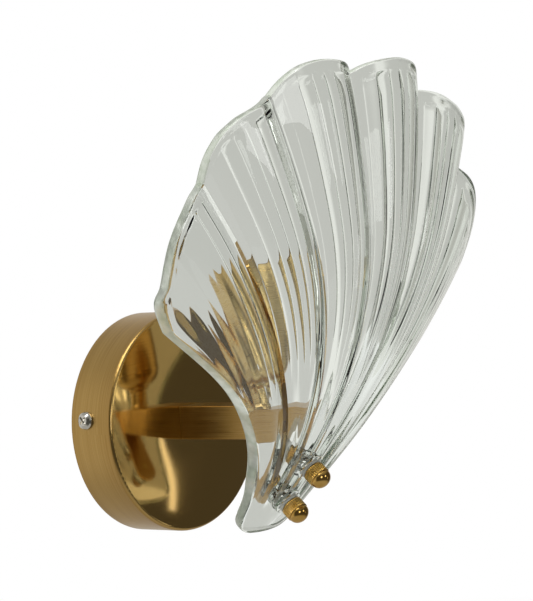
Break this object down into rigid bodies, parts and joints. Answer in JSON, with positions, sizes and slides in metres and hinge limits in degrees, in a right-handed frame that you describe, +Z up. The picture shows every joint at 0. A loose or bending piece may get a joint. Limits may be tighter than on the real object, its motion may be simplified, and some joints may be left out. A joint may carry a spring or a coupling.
{
  "type": "wall sconce",
  "caption": "Wall light with a fluted clear glass shell clamped to a square brass arm by two ball nuts, with a round brass canopy and an upright small-screw lampholder.",
  "frame": {"origin": "on the wall plane, at the middle of the canopy and of the two wall slots", "axes": "+Z up, +X right for someone who faces the wall, +Y into the wall; the light stands out along -Y"},
  "size_m": [0.2044, 0.1448, 0.2049],
  "materials": {
    "satin_brass": "satin brushed, lacquered",
    "polished_brass": "polished",
    "raw_brass": "machined",
    "nickel": "nickel plated",
    "zinc_steel": "zinc plated",
    "tinned_copper": "tinned",
    "clear_glass": "clear pressed glass, fire polished",
    "clear_silicone": "translucent, soft",
    "white_plastic": "moulded",
    "holder_resin": "moulded thermoset",
    "brown_lead": "silicone rubber insulation",
    "blue_lead": "silicone rubber insulation",
    "earth_lead": "green insulation with a yellow stripe"
  },
  "bodies": {
    "root": {"canopy": "satin_brass", "wall_bracket": "zinc_steel", "arm_tube": "satin_brass", "arm_root_plug": "raw_brass", "arm_nipple": "raw_brass", "nipple_lock_washer": "zinc_steel", "nipple_nut": "raw_brass", "nipple_bush": "white_plastic", "shell_bracket": "satin_brass", "glass_studs": "raw_brass", "glass_bushes": "clear_silicone", "glass_shell": "clear_glass", "holder_nipple": "raw_brass", "holder_nipple_nut": "raw_brass", "lampholder_collar": "satin_brass", "lampholder_cup": "satin_brass", "holder_body": "holder_resin", "thread_shell": "nickel", "centre_contact": "raw_brass", "holder_terminals": "raw_brass", "terminal_block": "white_plastic", "terminal_inserts": "raw_brass", "terminal_screws": "zinc_steel", "block_screw": "zinc_steel", "earth_screw": "zinc_steel", "earth_tag_bracket": "tinned_copper", "earth_tag_arm": "tinned_copper", "lead_live": "brown_lead", "lead_neutral": "blue_lead", "lead_earth": "earth_lead"},
    "washer_upper": {"front_washer_upper": "clear_silicone"},
    "nut_upper": {"ball_nut_upper": "polished_brass"},
    "washer_lower": {"front_washer_lower": "clear_silicone"},
    "nut_lower": {"ball_nut_lower": "polished_brass"},
    "screw_left": {"canopy_screw_left": "nickel"},
    "screw_right": {"canopy_screw_right": "nickel"}
  },
  "joints": [
    {"name": "upper_nut_travel", "type": "slide", "parent": "root", "child": "washer_upper", "axis": [0, -0.7441, -0.6681], "range_m": [0, 0.007]},
    {"name": "upper_nut_turn", "type": "hinge", "parent": "washer_upper", "child": "nut_upper", "pos_m": [0, -0.09583, -0.02159], "axis": [0, -0.7441, -0.6681], "range_deg": [0, 3600]},
    {"name": "lower_nut_travel", "type": "slide", "parent": "root", "child": "washer_lower", "axis": [0, -0.7441, -0.6681], "range_m": [0, 0.007]},
    {"name": "lower_nut_turn", "type": "hinge", "parent": "washer_lower", "child": "nut_lower", "pos_m": [0, -0.0818, -0.03722], "axis": [0, -0.7441, -0.6681], "range_deg": [0, 3600]},
    {"name": "canopy_screw_left_out", "type": "slide", "parent": "root", "child": "screw_left", "axis": [-0.9923, 0, 0.1236], "range_m": [0, 0.006]},
    {"name": "canopy_screw_right_out", "type": "slide", "parent": "root", "child": "screw_right", "axis": [0.9923, 0, -0.1236], "range_m": [0, 0.006]}
  ],
  "couplings": [
    {"joint": "upper_nut_travel", "follows": "upper_nut_turn", "m_per_rad": 0.0001114},
    {"joint": "lower_nut_travel", "follows": "lower_nut_turn", "m_per_rad": 0.0001114}
  ]
}
